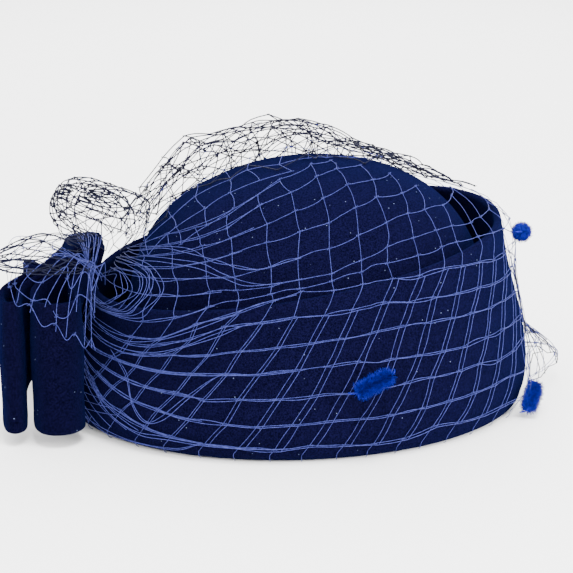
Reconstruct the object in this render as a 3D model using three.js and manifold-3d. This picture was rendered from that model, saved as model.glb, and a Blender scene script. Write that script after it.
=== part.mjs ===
// A felt pillbox hat: a domed crown whose brim is turned up as a high cuff, a felt bow at the back,
// and a net veil, gathered at the bow, with three chenille dots. It rests on its rim.
// Millimetres, +Z up. +X is the hat's front, where the cuff is highest.
import * as THREE from "three";
import { mergeVertices } from "three/addons/utils/BufferGeometryUtils.js";
import Module from "manifold-3d";

// Felt body
const feltThickness = 2.5;
const openingLength = 196; // the head opening at the rim, inside the felt
const openingWidth = 162;
const crownLength = 168; // outside of the crown at its shoulder
const crownWidth = 147;
const crownShift = 5; // the crown stands this far in front of the opening's middle
const crownHeight = 112;
const crownRise = 0.04; // the crown rises by this much for each millimetre towards the front
const shoulderHeight = 44; // the dome starts here, and the straight wall is below
const domeFullness = 2.25; // 2 is an ellipse, more is squarer
const planFullness = 2.05;
const foldRoom = 5.5; // between the two layers of felt at the rim
const foldRadius = 2.6; // of the middle of the felt round the rim's two corners
const cuffHeight = 73; // at the middle of the hat
const cuffRise = 0.16;
const cuffTopLength = 193; // outside of the cuff at its top edge
const cuffTopWidth = 168;
const cuffBulge = 2.4; // how far the cuff swells out above the fold
const cuffEdgeThickness = 3.4; // the top edge is turned in and pressed, so it is thicker

// Bow
const touchGap = 0.35; // between pieces that touch
const bandWidth = 61; // of each felt band, which stands upright
const bandFoot = 6; // the bow's lowest edge above the surface that the hat rests on
const pinchLift = 9; // the knot lifts the top edge of the bands by this much
const pinchGather = 8; // and narrows them by this much more from below
const pinchLean = 0.38; // at the knot they lean in over the cuff, by this much for each millimetre up
const loopReach = 56; // from the knot to the end of an inner loop
const farReach = 46; // the far loops are shorter,
const farDrop = 7; // lower,
const farLiftReach = 14; // and come down from the knot within a shorter distance
const loopDepth = 22;
const bandLayers = 4; // of felt in the knot
const knotWidth = 24;
const knotMargin = 1.5; // the bands keep their pinched form this far beside it
const knotEase = 0.7; // more room between the knot's strap and the bands in it
const knotRounding = 0.22; // 1 is an ellipse seen from the side, 0 is a rectangle
const liftReach = 34; // the bands come down from the knot within this distance of it
const leanReach = 25; // and stand upright again within this one

// Veil
const netGap = 1.3; // between the felt and the net
const netThickness = 1.2; // of a strand of this coarse net
const netWidth = 3.6;
const netWidest = 0.8; // share of a narrow gap that its strands may fill
const netFoot = 4; // the net's lower edge above the surface that the hat rests on
const fanColumns = 17; // of gaps, round the hat
const column = (18 * Math.PI) / 180; // angle of one; the net is open behind the bow
const gatherTheta = (196 * Math.PI) / 180; // direction of the gather
const gatherLevel = 0.97; // share of the way from the crown's top to the cuff's edge
const bunchWidth = 14; // of the bunched net at the gather
const bunchHeight = 24;
const bunchForward = 2; // from the cuff's edge
const bunchSink = 0.9; // into the net that lies on the edge
const billowHeight = 19; // the loose net stands this high behind the crown's crest
const billowReach = 34; // half width of the billow
const billowOffset = 34; // the billow's middle is this far behind the middle of the hat
const billowLean = 0.3; // it leans back by this much for each millimetre of height
const billowBack = -104; // it rises from here towards the front,
const billowRise = 42; // within this length,
const billowFront = 94; // and has come down here,
const billowFall = 134; // over this length
const billowEdge = 0.2; // it also comes down over this share of the way before the cuff's edge
const tipReach = 20; // the loose tip at the front sticks out this far
const tipHeight = 30; // the net starts to stand off the cuff at this height

// Chenille dots
const dotLength = 18;
const dotWidth = 10;

// Facets
const bodySides = 40;
const domeSteps = 8;
const wallSteps = 2;
const cornerSteps = 3;
const edgeSteps = 3;
const bandSteps = 60;
const knotSteps = 28;
const crownSteps = 4;
const cuffSteps = 3;
const edgeCuts = 2; // along the cuff's edge, so that the net bends where the felt does
const puffSides = 4;
const puffSteps = 3;
const dotSides = 10;

// The cuff from its fold to its top edge: shares of its height, of its bulge and of its lean inwards.
const cuffRows = [
  { up: 0.1, bulge: 0.75, lean: 0.0 },
  { up: 0.26, bulge: 1.0, lean: 0.07 },
  { up: 0.48, bulge: 0.7, lean: 0.34 },
  { up: 0.74, bulge: 0.25, lean: 0.72 },
  { up: 1.0, bulge: 0.0, lean: 1.0 },
];

// The loops of each band in plan, from the knot along the front layer to the end and back: shares of
// the reach away from the knot, and of loopDepth towards the back. The far loops lie close to the cuff.
const innerLoop = [
  { across: 0.2, back: 0.0 },
  { across: 0.4, back: -0.12 },
  { across: 0.62, back: -0.34 },
  { across: 0.84, back: -0.48 },
  { across: 0.97, back: -0.27 },
  { across: 1.0, back: 0.06 },
  { across: 0.94, back: 0.36 },
  { across: 0.76, back: 0.5 },
  { across: 0.48, back: 0.36 },
  { across: 0.22, back: 0.14 },
];
const outerLoop = [
  { across: 0.22, back: 0.02 },
  { across: 0.34, back: 0.2 },
  { across: 0.5, back: 0.38 },
  { across: 0.7, back: 0.48 },
  { across: 0.83, back: 0.55 },
  { across: 0.88, back: 0.66 },
  { across: 0.83, back: 0.77 },
  { across: 0.66, back: 0.79 },
  { across: 0.44, back: 0.6 },
  { across: 0.22, back: 0.15 },
];
const innerFarLoop = [
  { across: 0.26, back: 0.0 },
  { across: 0.42, back: -0.12 },
  { across: 0.62, back: -0.34 },
  { across: 0.84, back: -0.48 },
  { across: 0.95, back: -0.4 },
  { across: 0.98, back: -0.27 },
  { across: 0.93, back: -0.16 },
  { across: 0.76, back: -0.1 },
  { across: 0.5, back: 0.0 },
  { across: 0.3, back: 0.13 },
];
const outerFarLoop = [
  { across: 0.28, back: 0.01 },
  { across: 0.42, back: 0.05 },
  { across: 0.56, back: 0.02 },
  { across: 0.7, back: -0.03 },
  { across: 0.83, back: -0.02 },
  { across: 0.88, back: 0.06 },
  { across: 0.83, back: 0.16 },
  { across: 0.66, back: 0.2 },
  { across: 0.46, back: 0.21 },
  { across: 0.28, back: 0.14 },
];

// Rows of gaps in the net between the gather and the cuff's edge: shares of the way.
const crownRows = [0.07, 0.28, 0.5, 0.75, 1];
// And below the edge: shares of the way down, with the strands leaning by shares of a column.
const cuffNetRows = [
  { down: 0, lean: 0 },
  { down: 0.56, lean: 0.56 },
  { down: 1, lean: 1 },
];

// The net's puffs at the bow: their ends from where they leave the bunched net, how high they arch on
// the way, and their half sizes across, in shares of puffReach.
const puffReach = 60;
const puffs = [
  { x: -0.13, y: 0.8, z: 0.3, arch: 0.12, wide: 0.37, high: 0.17 },
  { x: -0.87, y: -0.4, z: 0.15, arch: 0, wide: 0.22, high: 0.13 },
];
const puffRoot = 9; // they leave it this far above its middle
const puffSwell = 0.7; // less is rounder
const puffRows = [0.1, 0.5, 0.86];

// The dots: columns of the net from the front, share of the way from the cuff's edge down to the
// net's lower edge, and turn in radians.
const dots = [
  { name: "chenille_dot_side", columns: -4.45, down: 0.56, turn: 0.3 },
  { name: "chenille_dot_top", columns: -0.63, down: 0.13, turn: -0.3 },
  { name: "chenille_dot_front", columns: -1.44, down: 0.94, turn: 0.35 },
];
const dotProfile = [
  { radius: 0, end: -1 },
  { radius: 0.72, end: -0.94 },
  { radius: 0.95, end: -0.5 },
  { radius: 1, end: 0 },
  { radius: 0.95, end: 0.5 },
  { radius: 0.72, end: 0.94 },
  { radius: 0, end: 1 },
];

const { PI, sin, cos, atan2, hypot, min, max, abs } = Math;
const joinGap = 1e-4; // corners nearer than this are one
const wasm = await Module();
wasm.setup();

// Distance from the middle of an oval to its edge, in the direction theta.
function ovalRadius(length, width, theta) {
  const along = abs(cos(theta) / (length / 2)) ** planFullness;
  const across = abs(sin(theta) / (width / 2)) ** planFullness;
  return (along + across) ** (-1 / planFullness);
}

function smooth(share) {
  const s = min(max(share, 0), 1);
  return s * s * (3 - 2 * s);
}

// The middle of the felt from the crown's top down to the rim, round the fold and up the cuff, in
// the upright plane in the direction theta: { out, up, thick, forward, rise }.
function feltPath(theta) {
  const half = feltThickness / 2;
  const shoulder = ovalRadius(crownLength, crownWidth, theta) - half;
  const wallFoot = ovalRadius(openingLength, openingWidth, theta) + half;
  const cuffFoot = wallFoot + feltThickness + foldRoom;
  const cuffTop = ovalRadius(cuffTopLength, cuffTopWidth, theta) - cuffEdgeThickness / 2;
  const domeHeight = crownHeight - half - shoulderHeight;
  const cornerHeight = half + foldRadius;
  const path = [];
  for (let i = 0; i <= domeSteps; i++) {
    const turn = (PI / 2) * (i / domeSteps);
    path.push({
      out: shoulder * sin(turn) ** (2 / domeFullness),
      up: shoulderHeight + domeHeight * max(cos(turn), 0) ** (2 / domeFullness),
      forward: crownShift,
      rise: crownRise,
    });
  }
  for (let i = 1; i <= wallSteps; i++) {
    const down = i / wallSteps;
    path.push({
      out: shoulder + (wallFoot - shoulder) * smooth(down),
      up: shoulderHeight + (cornerHeight - shoulderHeight) * down,
      forward: crownShift * (1 - down),
      rise: crownRise * (1 - down),
    });
  }
  for (let i = 1; i <= cornerSteps; i++) {
    const turn = (PI / 2) * (i / cornerSteps);
    path.push({ out: wallFoot + foldRadius * (1 - cos(turn)), up: cornerHeight - foldRadius * sin(turn) });
  }
  for (let i = 0; i <= cornerSteps; i++) {
    const turn = (PI / 2) * (i / cornerSteps);
    path.push({ out: cuffFoot - foldRadius * (1 - sin(turn)), up: cornerHeight - foldRadius * cos(turn) });
  }
  const edgeHeight = cuffHeight - cuffEdgeThickness / 2;
  for (const { up, bulge, lean } of cuffRows)
    path.push({
      out: cuffFoot + cuffBulge * bulge + (cuffTop - cuffFoot) * lean,
      up: cornerHeight + (edgeHeight - cornerHeight) * up,
      thick: feltThickness + (cuffEdgeThickness - feltThickness) * smooth(2 * up - 1),
      rise: cuffRise * smooth(up),
    });
  return path.map((place) => ({ thick: feltThickness, forward: 0, rise: 0, ...place }));
}

// The closed outline of the felt in one upright plane: down the outside of the crown, up the inside
// of the cuff, round its top edge, down the outside of the cuff and up inside the crown.
function feltOutline(theta) {
  const path = feltPath(theta);
  const last = path.length - 1;
  const beside = (i, sideways, onward) => {
    const before = path[max(i - 1, 0)];
    const after = path[min(i + 1, last)];
    const along = new THREE.Vector2(after.out - before.out, after.up - before.up).normalize();
    if (i === 0) along.set(1, 0);
    const { out, up, thick, forward, rise } = path[i];
    const reach = out + (thick / 2) * (along.x * onward - along.y * sideways);
    const height = up + (thick / 2) * (along.y * onward + along.x * sideways);
    const x = reach * cos(theta) + forward;
    return new THREE.Vector3(x, reach * sin(theta), height + rise * x);
  };
  const outline = path.map((_, i) => beside(i, 1, 0));
  for (let i = 1; i < edgeSteps; i++) {
    const turn = PI * (i / edgeSteps);
    outline.push(beside(last, cos(turn), sin(turn)));
  }
  for (let i = last; i >= 0; i--) outline.push(beside(i, -1, 0));
  return outline;
}

// Makes a closed geometry from points and triangles. Corners that fall together are joined.
function closedGeometry(position, index) {
  const geometry = new THREE.BufferGeometry();
  geometry.setAttribute("position", new THREE.Float32BufferAttribute(position, 3));
  geometry.setIndex(index);
  return mergeVertices(geometry, joinGap);
}

// Joins rows of points into one skin. Points that fall together, as on an axis, make no face.
function skin(rows, rowsClose, pointsClose) {
  const points = rows.flat();
  const size = rows[0].length;
  const index = [];
  const add = (...corners) => {
    const [a, b, c] = corners.map((corner) => points[corner]);
    if (min(a.distanceTo(b), b.distanceTo(c), c.distanceTo(a)) > joinGap) index.push(...corners);
  };
  const rowCount = rowsClose ? rows.length : rows.length - 1;
  const pointCount = pointsClose ? size : size - 1;
  for (let i = 0; i < rowCount; i++) {
    for (let j = 0; j < pointCount; j++) {
      const here = i * size;
      const next = ((i + 1) % rows.length) * size;
      const k = (j + 1) % size;
      add(here + j, next + k, next + j);
      add(here + j, here + k, next + k);
    }
  }
  return closedGeometry(points.flatMap((point) => point.toArray()), index);
}

function piece(name, geometry, material) {
  const mesh = new THREE.Mesh(geometry, material);
  mesh.name = name;
  return mesh;
}

const felt = new THREE.MeshStandardMaterial({ color: 0x141f4e, roughness: 0.95, metalness: 0 });
const bowFelt = new THREE.MeshStandardMaterial({ color: 0x0d1440, roughness: 0.95, metalness: 0 });
const net = new THREE.MeshStandardMaterial({ color: 0x2c3a7a, roughness: 0.6, metalness: 0 });
const chenille = new THREE.MeshStandardMaterial({ color: 0x1233a8, roughness: 0.9, metalness: 0 });

function feltBody() {
  const rows = [];
  for (let i = 0; i < bodySides; i++) rows.push(feltOutline((2 * PI * i) / bodySides));
  return piece("felt_body", skin(rows, true, false), felt);
}

// A closed strap of felt. Each row of its path has a middle, half its width and its face's normal.
function strap(path) {
  const half = feltThickness / 2;
  const rows = path.map(({ middle, side, face }) =>
    [[1, 1], [1, -1], [-1, -1], [-1, 1]].map(([across, through]) =>
      middle.clone().addScaledVector(side, across).addScaledVector(face, through * half),
    ),
  );
  return skin(rows, true, true);
}

// The knot leans on the back of the cuff, and the layers of the bow lie from there towards -X.
const layer = feltThickness + touchGap;
const knotFoot = bandFoot + pinchLift + pinchGather - layer / 2 - touchGap - knotEase;
const cuffBack = feltOutline(PI)
  .filter(({ z }) => z > knotFoot)
  .map(({ x, z }) => x - pinchLean * (z - knotFoot));
const knotFront = min(...cuffBack) - touchGap - feltThickness / 2;

const besideKnot = (y) => abs(y) - knotWidth / 2 - knotMargin;

// Leans the middle of the bow in over the cuff; its loops stay upright.
function leaned(geometry) {
  const position = geometry.getAttribute("position");
  for (let i = 0; i < position.count; i++) {
    const fade = smooth(1 - besideKnot(position.getY(i)) / leanReach);
    position.setX(i, position.getX(i) + pinchLean * fade * (position.getZ(i) - knotFoot));
  }
  return geometry;
}

// A band of the bow: a near and a far loop, pinched together at the knot.
function bowBand(name, nearLoop, farLoop, firstLayer) {
  const front = knotFront - knotEase - layer * firstLayer;
  const points = (loop, reach) =>
    loop.map(({ across, back }) => new THREE.Vector3(front - loopDepth * back, reach * across, 0));
  const near = points(nearLoop, -loopReach);
  const frontPinch = new THREE.Vector3(front, 0, 0);
  const backPinch = new THREE.Vector3(front - layer, 0, 0);
  const far = points(farLoop, farReach).reverse();
  const curve = new THREE.CatmullRomCurve3([frontPinch, ...near, backPinch, ...far], true, "centripetal");
  const path = [];
  for (let i = 0; i < bandSteps; i++) {
    const middle = curve.getPointAt(i / bandSteps);
    const along = curve.getTangentAt(i / bandSteps);
    const isFar = middle.y > 0;
    const pinch = smooth(1 - besideKnot(middle.y) / (isFar ? farLiftReach : liftReach));
    const foot = bandFoot + (pinchLift + pinchGather) * pinch;
    const top = bandFoot + bandWidth + pinchLift * pinch - (isFar ? farDrop * (1 - pinch) : 0);
    middle.z = (foot + top) / 2;
    const side = new THREE.Vector3(0, 0, (top - foot) / 2);
    path.push({ middle, side, face: new THREE.Vector3(-along.y, along.x, 0).normalize() });
  }
  return piece(name, leaned(strap(path)), bowFelt);
}

// The strap that wraps round the middle of both bands.
function bowKnot() {
  const back = knotFront - 2 * knotEase - (bandLayers + 1) * layer;
  const top = bandFoot + bandWidth + pinchLift + layer / 2 + touchGap + knotEase;
  const rounded = (value) => Math.sign(value) * abs(value) ** knotRounding;
  const path = [];
  for (let i = 0; i < knotSteps; i++) {
    const turn = (2 * PI * i) / knotSteps;
    const x = (knotFront + back + (knotFront - back) * rounded(cos(turn))) / 2;
    const z = (knotFoot + top + (top - knotFoot) * rounded(sin(turn))) / 2;
    path.push({ middle: new THREE.Vector3(x, 0, z), side: new THREE.Vector3(0, knotWidth / 2, 0) });
  }
  path.forEach((row, i) => {
    const before = path[(i + knotSteps - 1) % knotSteps].middle;
    const after = path[(i + 1) % knotSteps].middle;
    const along = after.clone().sub(before).normalize();
    row.face = new THREE.Vector3(along.z, 0, -along.x);
  });
  return piece("bow_knot", leaned(strap(path)), bowFelt);
}

// The outside that the net lies on in the direction theta: the felt's outline with its hollows
// bridged, from the crown's top down to just above the surface. Each point has its distance out,
// height, sideways shift, way from the start and normal; edgeWay is the way to the cuff's edge. On
// its way down the hull never climbs at more than steepest.
const steepest = PI / 6;
const profiles = new Map();
function drapeProfile(theta) {
  const key = theta.toFixed(6);
  if (profiles.has(key)) return profiles.get(key);
  const outline = feltOutline(theta).map((point) => ({
    out: point.x * cos(theta) + point.y * sin(theta),
    aside: point.y * cos(theta) - point.x * sin(theta),
    up: point.z,
  }));
  const edge = outline[feltPath(theta).length + edgeSteps - 2];
  const hull = [outline[0]];
  while (hull.at(-1).up > netFoot) {
    const here = hull.at(-1);
    const slope = (point) => atan2(point.up - here.up, point.out - here.out);
    const ahead = outline.filter((point) => point !== here && slope(point) < steepest);
    hull.push(ahead.reduce((best, point) => (slope(point) > slope(best) ? point : best)));
  }
  const [above, below] = hull.slice(-2);
  const share = (above.up - netFoot) / (above.up - below.up);
  hull[hull.length - 1] = { ...below, out: above.out + (below.out - above.out) * share, up: netFoot };
  let way = 0;
  const points = hull.map((point, i) => {
    const before = hull[max(i - 1, 0)];
    const after = hull[min(i + 1, hull.length - 1)];
    const along = new THREE.Vector2(after.out - before.out, after.up - before.up).normalize();
    way += hypot(point.out - before.out, point.up - before.up);
    return { ...point, way, normalOut: i ? -along.y : 0, normalUp: i ? along.x : 1 };
  });
  const awayFromEdge = ({ out, up }) => hypot(out - edge.out, up - edge.up);
  const nearest = points.reduce((best, point) => (awayFromEdge(point) < awayFromEdge(best) ? point : best));
  const profile = { points, edgeWay: nearest.way };
  profiles.set(key, profile);
  return profile;
}

// A place on the net's inside: theta is a direction round the hat, and level is 0 at the crown's
// top, 1 at the cuff's edge and 2 at the net's lower edge. It is moved out by lift.
function onDrape(theta, level, lift) {
  const { points, edgeWay } = drapeProfile(theta);
  const wholeWay = points.at(-1).way;
  const way = level < 1 ? level * edgeWay : edgeWay + (level - 1) * (wholeWay - edgeWay);
  const next = max(points.findIndex((point) => point.way >= way - 1e-9), 1);
  const a = points[next - 1];
  const b = points[next];
  const share = (way - a.way) / (b.way - a.way);
  const between = (name) => a[name] + (b[name] - a[name]) * share;
  const reach = between("out") + (netGap + lift) * between("normalOut");
  const aside = between("aside");
  const place = new THREE.Vector3(
    reach * cos(theta) - aside * sin(theta),
    reach * sin(theta) + aside * cos(theta),
    between("up") + (netGap + lift) * between("normalUp"),
  );
  return place.add(looseness(place, theta, level));
}

// How far the net stands off the hat: the billow behind the crest, and the tip at the front.
function looseness(place, theta, level) {
  const along = smooth((place.x - billowBack) / billowRise) * smooth((billowFront - place.x) / billowFall);
  const across = smooth(1 - abs(place.y - billowOffset) / billowReach);
  const billow = billowHeight * along * across * smooth((1 - level) / billowEdge);
  const beside = abs(atan2(sin(theta), cos(theta))) / column;
  const tip = smooth(1 - beside) * smooth(1 - (place.z - netFoot) / tipHeight);
  const out = tipReach * tip;
  return new THREE.Vector3(out * cos(theta), out * sin(theta) + billowLean * billow, billow + netFoot * tip);
}

// A place on the net: columns are counted from the front, and level is 0 at the gather, 1 at the
// cuff's edge and 2 at the net's lower edge. Over the crown the net runs straight, in a flat chart,
// from the gather to the cuff's edge.
function onNet(columns, level, lift) {
  const theta = columns * column;
  if (level >= 1) return onDrape(theta, level, lift);
  const gathered = [gatherLevel * cos(gatherTheta), gatherLevel * sin(gatherTheta)];
  const x = gathered[0] + (cos(theta) - gathered[0]) * level;
  const y = gathered[1] + (sin(theta) - gathered[1]) * level;
  return onDrape(atan2(y, x), hypot(x, y), lift);
}

// A place on a puff of the net: around counts its sides, and along is its share of the way from the
// gather to its end.
function onPuff({ x, y, z, arch, wide, high }, around, along, lift) {
  const axis = new THREE.Vector3(x, y, z).multiplyScalar(puffReach);
  const onward = axis.clone().normalize();
  const level = new THREE.Vector3().crossVectors(onward, new THREE.Vector3(0, 0, 1)).normalize();
  const upright = new THREE.Vector3().crossVectors(level, onward);
  const turn = (2 * PI * around) / puffSides;
  const swell = sin(PI * along) ** puffSwell;
  return bunchMiddle()
    .add(new THREE.Vector3(0, 0, puffRoot + arch * puffReach * sin(PI * along)))
    .addScaledVector(axis, along)
    .addScaledVector(level, cos(turn) * (wide * puffReach * swell + lift * sin(PI * along)))
    .addScaledVector(upright, sin(turn) * (high * puffReach * swell + lift * sin(PI * along)))
    .addScaledVector(onward, -lift * cos(PI * along));
}

// A net as one closed body. Each cell is a loop of corners on the surface that place gives, seen from
// outside and turning left. Each side of it has its number of steps. A filled cell has no gap, and the
// last corner of a round one is its first again.
function netSolid(cells, place) {
  const position = [];
  const index = [];
  const walls = new Map();
  const corner = (at, lift) => position.push(...place(...at, lift).toArray()) / 3 - 1;
  const between = (a, b, share) => a.map((value, i) => value + (b[i] - value) * share);
  const keyOf = (at) => place(...at, 0).toArray().map((value) => value.toFixed(3)).join();
  for (const { corners, steps, filled, centreOf, round } of cells) {
    const sides = round ? corners.slice(0, -1) : corners;
    const loop = sides.flatMap((from, i) => {
      const to = corners[(i + 1) % corners.length];
      const count = steps[i % steps.length];
      return Array.from({ length: count }, (_, j) => between(from, to, j / count));
    });
    const mean = [0, 1].map((axis) => loop.reduce((sum, at) => sum + at[axis], 0) / loop.length);
    const centre = centreOf ?? (() => mean);
    const inset = (at) => {
      const way = place(...at, 0).distanceTo(place(...centre(at), 0));
      return between(at, centre(at), min(netWidth / 2 / way, netWidest));
    };
    loop.forEach((at, i) => {
      const onward = loop[(i + 1) % loop.length];
      const outer = [corner(at, netThickness), corner(onward, netThickness)];
      const inner = [corner(at, 0), corner(onward, 0)];
      if (filled) {
        index.push(...outer, corner(centre(at), netThickness), inner[1], inner[0], corner(centre(at), 0));
      } else {
        const side = [corner(inset(at), netThickness / 2), corner(inset(onward), netThickness / 2)];
        index.push(...outer, side[1], outer[0], side[1], side[0]);
        index.push(inner[1], inner[0], side[1], inner[0], side[0], side[1]);
      }
      const keys = [keyOf(at), keyOf(onward)];
      const facing = keys.slice().reverse().join();
      if (walls.has(facing)) walls.delete(facing);
      else walls.set(keys.join(), [inner[0], inner[1], outer[1], inner[0], outer[1], outer[0]]);
    });
  }
  for (const wall of walls.values()) index.push(...wall);
  return closedGeometry(position, index);
}

// The net from the gather over the crown, and down the cuff.
function drapeGeometry() {
  const first = -fanColumns / 2;
  const columns = Array.from({ length: fanColumns }, (_, i) => first + i);
  const ring = [...columns, first + fanColumns].map((i) => [i, crownRows[0]]);
  const cells = [{ corners: ring, steps: [1], filled: true, centreOf: ([i]) => [i, 0] }];
  for (let row = 1; row < crownRows.length; row++) {
    const [a, b] = [crownRows[row - 1], crownRows[row]];
    const across = row === crownRows.length - 1 ? edgeCuts : 1;
    const steps = [crownSteps, across, crownSteps, 1];
    for (const i of columns) cells.push({ corners: [[i, a], [i, b], [i + 1, b], [i + 1, a]], steps });
  }
  for (let row = 1; row < cuffNetRows.length; row++) {
    const [a, b] = [cuffNetRows[row - 1], cuffNetRows[row]];
    for (const i of columns) {
      const corners = [
        [i - a.lean, 1 + a.down],
        [i - b.lean, 1 + b.down],
        [i + 1 - b.lean, 1 + b.down],
        [i + 1 - a.lean, 1 + a.down],
      ];
      cells.push({ corners, steps: [cuffSteps, edgeCuts] });
    }
  }
  return netSolid(cells, onNet);
}

function puffGeometry(puff) {
  const sides = Array.from({ length: puffSides }, (_, i) => i);
  const [root, ...rest] = puffRows;
  const end = rest.at(-1);
  const ring = [...sides, puffSides];
  const steps = [puffSteps];
  const cells = [
    { corners: ring.map((i) => [i, root]), steps, filled: true, centreOf: ([i]) => [i, 0], round: true },
    { corners: ring.map((i) => [-i, end]), steps, centreOf: ([i]) => [i, 1], round: true },
  ];
  rest.forEach((b, row) => {
    const a = puffRows[row];
    for (const i of sides) cells.push({ corners: [[i, a], [i, b], [i + 1, b], [i + 1, a]], steps });
  });
  return netSolid(cells, (around, along, lift) => onPuff(puff, around, along, lift));
}

// The middle of the bunched net, which stands on the cuff's edge beside the knot.
function bunchMiddle() {
  const edge = onDrape(gatherTheta, 1, 0);
  return edge.add(new THREE.Vector3(bunchForward, 0, bunchHeight / 2 - bunchSink));
}

function solidOf(geometry) {
  const vertProperties = geometry.getAttribute("position").array;
  const triVerts = Uint32Array.from(geometry.getIndex().array);
  return new wasm.Manifold(new wasm.Mesh({ numProp: 3, vertProperties, triVerts }));
}

function geometryOf(solid) {
  const { vertProperties, triVerts } = solid.getMesh();
  return closedGeometry(Array.from(vertProperties), Array.from(triVerts));
}

function veil() {
  const bunch = new THREE.SphereGeometry(1, 12, 8);
  bunch.scale(bunchWidth / 2, bunchWidth / 2, bunchHeight / 2);
  bunch.translate(...bunchMiddle().toArray());
  bunch.deleteAttribute("normal").deleteAttribute("uv");
  const parts = [drapeGeometry(), mergeVertices(bunch, joinGap), ...puffs.map(puffGeometry)];
  const whole = parts.map(solidOf).reduce((sum, part) => sum.add(part));
  return piece("veil_net", geometryOf(whole), net);
}

// A chenille dot: a short brush of fibres, threaded on the net and lying along it.
function chenilleDot({ name, columns, down, turn }) {
  const level = 1 + down;
  const lift = netThickness + touchGap + dotWidth / 2;
  const here = onNet(columns, level, lift);
  const along = onNet(columns + 0.1, level, lift)
    .sub(onNet(columns - 0.1, level, lift))
    .normalize();
  const out = here.clone().sub(onNet(columns, level, 0)).normalize();
  const profile = dotProfile.map(
    ({ radius, end }) => new THREE.Vector2((radius * dotWidth) / 2, (end * dotLength) / 2),
  );
  const geometry = new THREE.LatheGeometry(profile, dotSides);
  geometry.deleteAttribute("normal").deleteAttribute("uv");
  const dot = piece(name, mergeVertices(geometry, joinGap), chenille);
  const beside = new THREE.Vector3().crossVectors(out, along).normalize();
  along.crossVectors(beside, out);
  dot.quaternion.setFromRotationMatrix(new THREE.Matrix4().makeBasis(beside.negate(), along, out));
  dot.rotateZ(turn);
  dot.position.copy(here);
  return dot;
}

const hat = new THREE.Group();
hat.add(feltBody());
hat.add(bowBand("bow_band_inner", innerLoop, innerFarLoop, 1));
hat.add(bowBand("bow_band_outer", outerLoop, outerFarLoop, 3));
hat.add(bowKnot());
hat.add(veil());
for (const dot of dots) hat.add(chenilleDot(dot));

// The origin is below the middle of the whole hat, on the surface that it rests on.
const box = new THREE.Box3().setFromObject(hat, true);
const middle = box.getCenter(new THREE.Vector3());
hat.position.set(-middle.x, -middle.y, -box.min.z);
export default hat;
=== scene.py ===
import bmesh
import bpy
import numpy as np
from mathutils import Matrix, Vector


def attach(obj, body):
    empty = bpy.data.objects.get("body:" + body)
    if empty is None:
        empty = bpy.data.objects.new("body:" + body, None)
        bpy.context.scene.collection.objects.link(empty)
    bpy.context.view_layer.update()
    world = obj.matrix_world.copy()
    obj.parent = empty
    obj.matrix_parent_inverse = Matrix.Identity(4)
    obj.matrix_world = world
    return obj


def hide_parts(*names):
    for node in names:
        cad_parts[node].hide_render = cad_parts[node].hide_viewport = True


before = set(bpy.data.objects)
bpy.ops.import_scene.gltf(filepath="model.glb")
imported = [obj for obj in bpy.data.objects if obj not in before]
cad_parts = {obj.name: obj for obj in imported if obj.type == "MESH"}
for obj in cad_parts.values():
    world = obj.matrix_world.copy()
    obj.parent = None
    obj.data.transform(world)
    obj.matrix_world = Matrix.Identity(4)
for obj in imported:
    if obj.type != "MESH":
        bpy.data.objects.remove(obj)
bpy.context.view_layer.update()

pi = np.pi

# All shapes are worked out in millimetres from the middle of the head opening, with the front at +X.
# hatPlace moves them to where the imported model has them.
hatPlace = np.array([4.379, 3.903, -0.004])

cameraView = {"azimuth": -10, "elevation": 17, "distance": 900, "target": (0.4, 3.9, 52), "lens": 119.9}

azimuth, elevation = np.radians(cameraView["azimuth"]), np.radians(cameraView["elevation"])
viewBack = np.array([np.sin(azimuth) * np.cos(elevation), -np.cos(azimuth) * np.cos(elevation),
                     np.sin(elevation)])
viewRight = np.array([np.cos(azimuth), np.sin(azimuth), 0.0])
viewUp = np.cross(viewBack, viewRight)


studio = {
    "floorSize": 30, "floorDepth": 0.0003, "floorTone": 0.93, "floorRoughness": 0.9, "skyStrength": 3.4,
    "aim": (0, 0, 0.05),
}
lights = [
    {"name": "keyLight", "place": (0.1, -0.5, 1.5), "size": 0.7, "power": 40},
    {"name": "frontLight", "place": (1.2, -0.9, 0.7), "size": 0.6, "power": 34},
    {"name": "backLight", "place": (0.2, 1.2, 0.9), "size": 0.8, "power": 14},
]


def makeCamera():
    camera = bpy.data.objects.new("camera", bpy.data.cameras.new("camera"))
    bpy.context.scene.collection.objects.link(camera)
    turn = Matrix([viewRight, viewUp, viewBack]).transposed().to_4x4()
    spot = np.array(cameraView["target"]) + cameraView["distance"] * viewBack
    camera.matrix_world = Matrix.Translation(spot / 1000) @ turn
    camera.data.lens = cameraView["lens"]
    camera.data.sensor_width = 36
    camera.data.clip_start = 0.05
    bpy.context.scene.camera = camera


def softLight(name, place, size, power):
    lamp = bpy.data.lights.new(name, "AREA")
    lamp.shape = "DISK"
    lamp.size = size
    lamp.energy = power
    holder = bpy.data.objects.new(name, lamp)
    holder.location = place
    holder.rotation_euler = (Vector(place) - Vector(studio["aim"])).to_track_quat("Z", "Y").to_euler()
    bpy.context.scene.collection.objects.link(holder)


def makeStage():
    bpy.ops.mesh.primitive_plane_add(size=studio["floorSize"], location=(0, 0, -studio["floorDepth"]))
    floor = bpy.context.object
    floor.name = "studioFloor"
    paper = bpy.data.materials.new("paleFloor")
    paper.use_nodes = True
    shader = paper.node_tree.nodes["Principled BSDF"]
    shader.inputs["Base Color"].default_value = (*[studio["floorTone"]] * 3, 1)
    shader.inputs["Roughness"].default_value = studio["floorRoughness"]
    floor.data.materials.append(paper)
    world = bpy.data.worlds.new("studio")
    bpy.context.scene.world = world
    world.use_nodes = True
    sky = world.node_tree.nodes["Background"]
    sky.inputs["Color"].default_value = (1, 1, 1, 1)
    sky.inputs["Strength"].default_value = studio["skyStrength"]
    for light in lights:
        softLight(**light)


makeCamera()
makeStage()
print("camera and stage made")


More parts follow.
